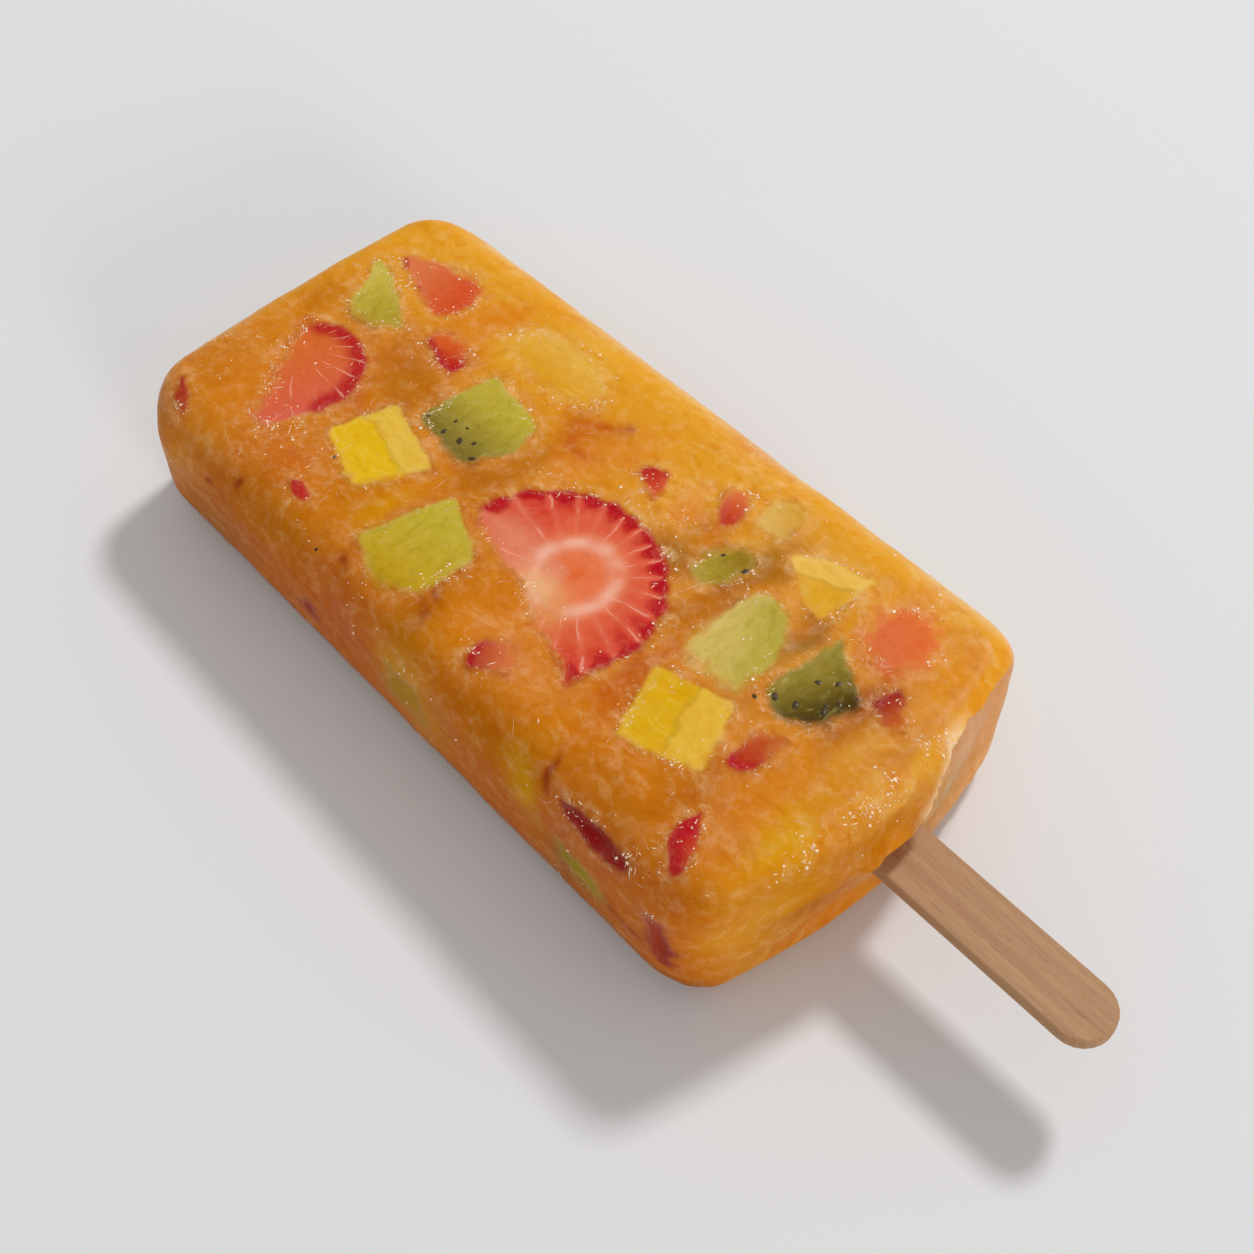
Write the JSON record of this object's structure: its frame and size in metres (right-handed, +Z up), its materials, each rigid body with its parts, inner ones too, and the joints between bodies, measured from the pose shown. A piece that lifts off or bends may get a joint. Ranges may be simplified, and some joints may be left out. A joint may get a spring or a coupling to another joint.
{
  "type": "fruit ice lolly",
  "caption": "Drafted block of amber fruit ice on a flat wooden stick, with cut strawberry, kiwi, mango and peach frozen flush into its surface, lying on its back.",
  "frame": {"origin": "under the middle of the whole lolly, stick included, on the surface it lies on", "axes": "+Z up through the block's thickness, +Y towards the tip and -Y along the stick, +X to the right seen from the stick"},
  "size_m": [0.0544, 0.1398, 0.0236],
  "materials": {
    "ice": "glossy wet amber fruit ice",
    "strawberry": "wet frozen strawberry",
    "kiwi": "wet frozen kiwi flesh",
    "mango": "wet frozen mango",
    "peach": "wet frozen peach",
    "stick": "bare pale birch"
  },
  "bodies": {
    "root": {"ice_block": "ice", "kiwi_far_side": "kiwi", "kiwi_left_chunk": "kiwi", "kiwi_pale_chunk": "kiwi", "kiwi_seeded_chunk": "kiwi", "kiwi_side_chunk": "kiwi", "kiwi_side_piece": "kiwi", "kiwi_strip": "kiwi", "kiwi_triangle": "kiwi", "kiwi_wedge": "kiwi", "mango_cube_stick": "mango", "mango_cube_tip": "mango", "mango_far_chunk": "mango", "mango_far_side": "mango", "mango_pale_chunk": "mango", "mango_wedge": "mango", "peach_chunk": "peach", "stick": "stick", "strawberry_chip_far": "strawberry", "strawberry_chip_left": "strawberry", "strawberry_chip_middle": "strawberry", "strawberry_chip_peach": "strawberry", "strawberry_chip_stick": "strawberry", "strawberry_corner_piece": "strawberry", "strawberry_corner_sliver": "strawberry", "strawberry_crescent": "strawberry", "strawberry_crimson_piece": "strawberry", "strawberry_edge_strip": "strawberry", "strawberry_far_side": "strawberry", "strawberry_half_slice": "strawberry", "strawberry_side_chip": "strawberry", "strawberry_side_piece": "strawberry", "strawberry_soft_piece": "strawberry", "strawberry_teardrop": "strawberry", "strawberry_tip_end": "strawberry", "strawberry_tip_slice": "strawberry"}
  },
  "joints": []
}
